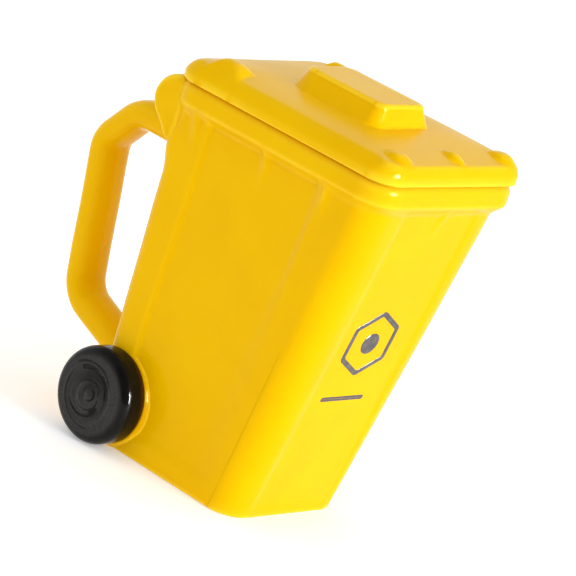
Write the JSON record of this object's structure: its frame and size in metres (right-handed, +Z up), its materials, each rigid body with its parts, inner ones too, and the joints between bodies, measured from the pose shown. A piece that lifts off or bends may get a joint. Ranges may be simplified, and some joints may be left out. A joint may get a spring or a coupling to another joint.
{
  "type": "lidded ceramic mug shaped like a wheeled waste bin",
  "caption": "Yellow glazed ceramic mug shaped like a wheeled clinical waste bin, with a loose lift-off lid, a loop handle and fixed black wheels.",
  "frame": {"origin": "centre of the flat foot that the mug stands on", "axes": "+Z up; the sloping front with the mark faces -Y; the loop handle stands out at +Y; the wheels lie on the -X and +X sides"},
  "size_m": [0.0672, 0.1282, 0.1238],
  "materials": {
    "yellow_glaze": "gloss",
    "black_glaze": "gloss",
    "transfer_ink": "gloss"
  },
  "bodies": {
    "mug": {"mug_body": "yellow_glaze", "handle_loop": "yellow_glaze", "left_ear": "yellow_glaze", "right_ear": "yellow_glaze", "left_wheel_boss": "yellow_glaze", "right_wheel_boss": "yellow_glaze", "left_wheel": "black_glaze", "right_wheel": "black_glaze", "front_mark_transfer": "transfer_ink", "front_bar_transfer": "transfer_ink"},
    "lid": {"lid_shell": "yellow_glaze", "lid_grip": "yellow_glaze", "lid_locating_ring": "yellow_glaze"}
  },
  "joints": [
    {"name": "lid_lift", "type": "slide", "parent": "mug", "child": "lid", "axis": [0, 0, 1], "range_m": [0, 0.06]}
  ]
}
